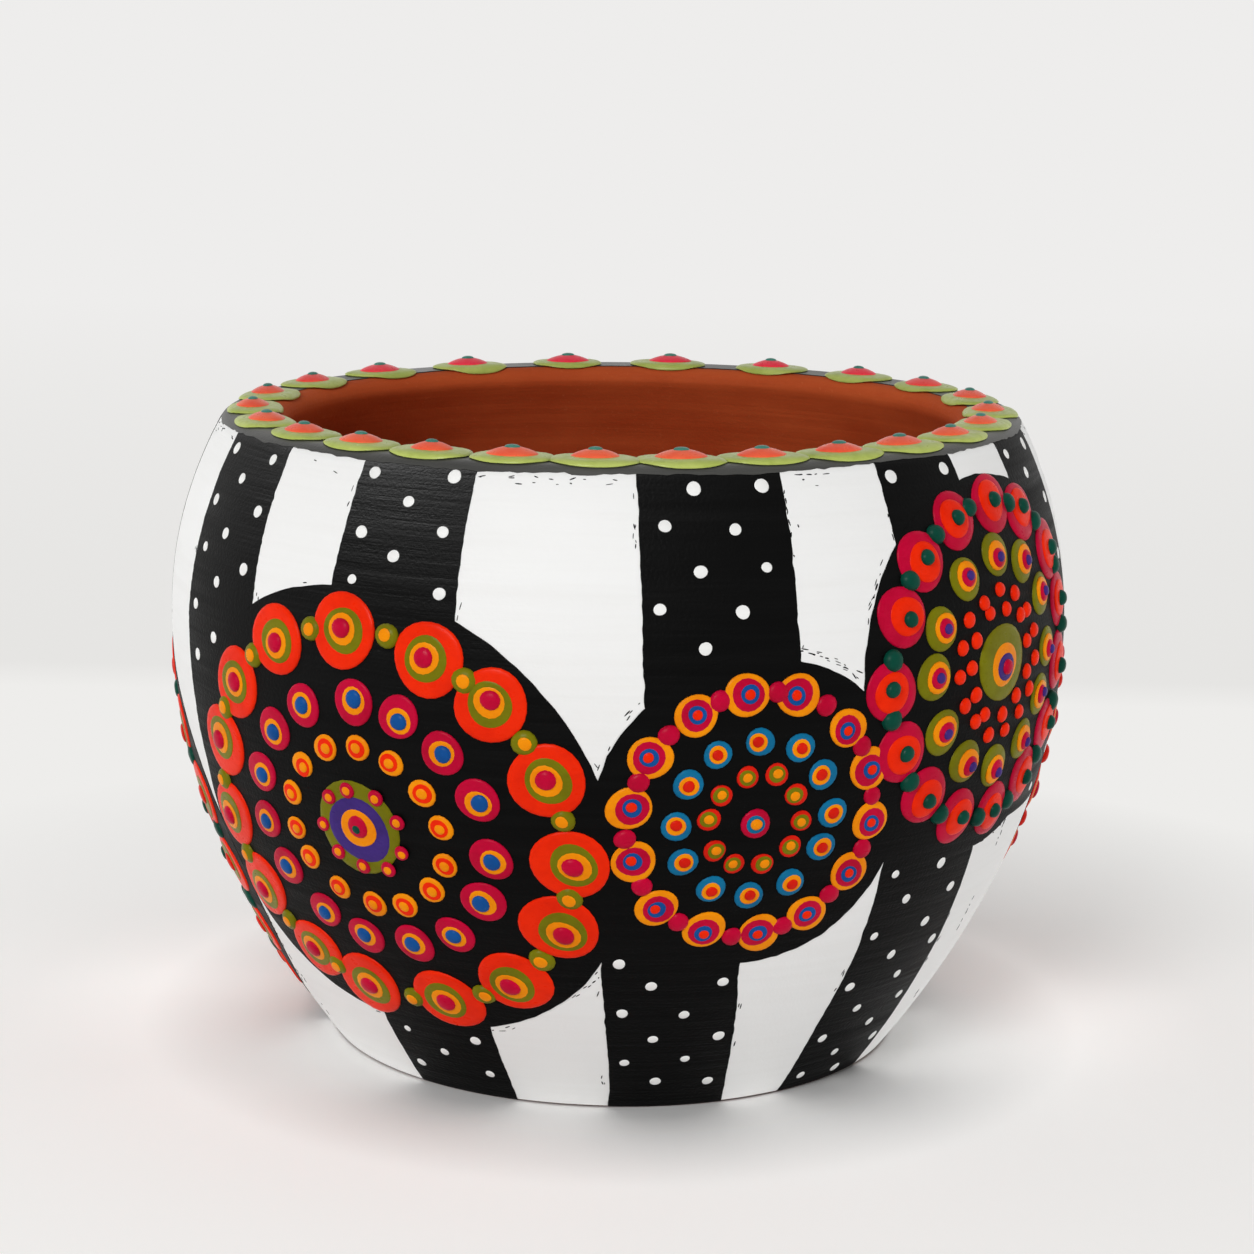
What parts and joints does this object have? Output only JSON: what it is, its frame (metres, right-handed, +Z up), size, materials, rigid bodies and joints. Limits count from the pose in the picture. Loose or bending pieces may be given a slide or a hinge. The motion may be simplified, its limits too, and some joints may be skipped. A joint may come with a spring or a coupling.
{
  "type": "ball vase",
  "caption": "Round terracotta ball vase with a wide open mouth and flat base, painted in black and white stripes, with raised dot medallions on its wall and painted berries on its rim.",
  "frame": {"origin": "middle of the flat base, on the surface it stands on", "axes": "+Z up along the pot's axis, -Y towards the front that the picture shows, +X to the picture's right"},
  "size_m": [0.2048, 0.2045, 0.145],
  "materials": {
    "terracotta": "fired clay, bare inside and painted in black and white stripes outside",
    "dot_paint": "satin acrylic paint, black ground with raised dots in many colours",
    "leaf_paint": "satin light green acrylic paint",
    "berry_paint": "satin orange red acrylic paint with a teal tip"
  },
  "bodies": {
    "root": {"terracotta_pot": "terracotta", "medallion_front_left": "dot_paint", "medallion_front_centre": "dot_paint", "medallion_front_right": "dot_paint", "medallion_right": "dot_paint", "medallion_back": "dot_paint", "medallion_left": "dot_paint", "rim_leaf_01": "leaf_paint", "rim_leaf_02": "leaf_paint", "rim_leaf_03": "leaf_paint", "rim_leaf_04": "leaf_paint", "rim_leaf_05": "leaf_paint", "rim_leaf_06": "leaf_paint", "rim_leaf_07": "leaf_paint", "rim_leaf_08": "leaf_paint", "rim_leaf_09": "leaf_paint", "rim_leaf_10": "leaf_paint", "rim_leaf_11": "leaf_paint", "rim_leaf_12": "leaf_paint", "rim_leaf_13": "leaf_paint", "rim_leaf_14": "leaf_paint", "rim_leaf_15": "leaf_paint", "rim_leaf_16": "leaf_paint", "rim_leaf_17": "leaf_paint", "rim_leaf_18": "leaf_paint", "rim_leaf_19": "leaf_paint", "rim_leaf_20": "leaf_paint", "rim_leaf_21": "leaf_paint", "rim_leaf_22": "leaf_paint", "rim_leaf_23": "leaf_paint", "rim_leaf_24": "leaf_paint", "rim_berry_01": "berry_paint", "rim_berry_02": "berry_paint", "rim_berry_03": "berry_paint", "rim_berry_04": "berry_paint", "rim_berry_05": "berry_paint", "rim_berry_06": "berry_paint", "rim_berry_07": "berry_paint", "rim_berry_08": "berry_paint", "rim_berry_09": "berry_paint", "rim_berry_10": "berry_paint", "rim_berry_11": "berry_paint", "rim_berry_12": "berry_paint", "rim_berry_13": "berry_paint", "rim_berry_14": "berry_paint", "rim_berry_15": "berry_paint", "rim_berry_16": "berry_paint", "rim_berry_17": "berry_paint", "rim_berry_18": "berry_paint", "rim_berry_19": "berry_paint", "rim_berry_20": "berry_paint", "rim_berry_21": "berry_paint", "rim_berry_22": "berry_paint", "rim_berry_23": "berry_paint", "rim_berry_24": "berry_paint"}
  },
  "joints": []
}
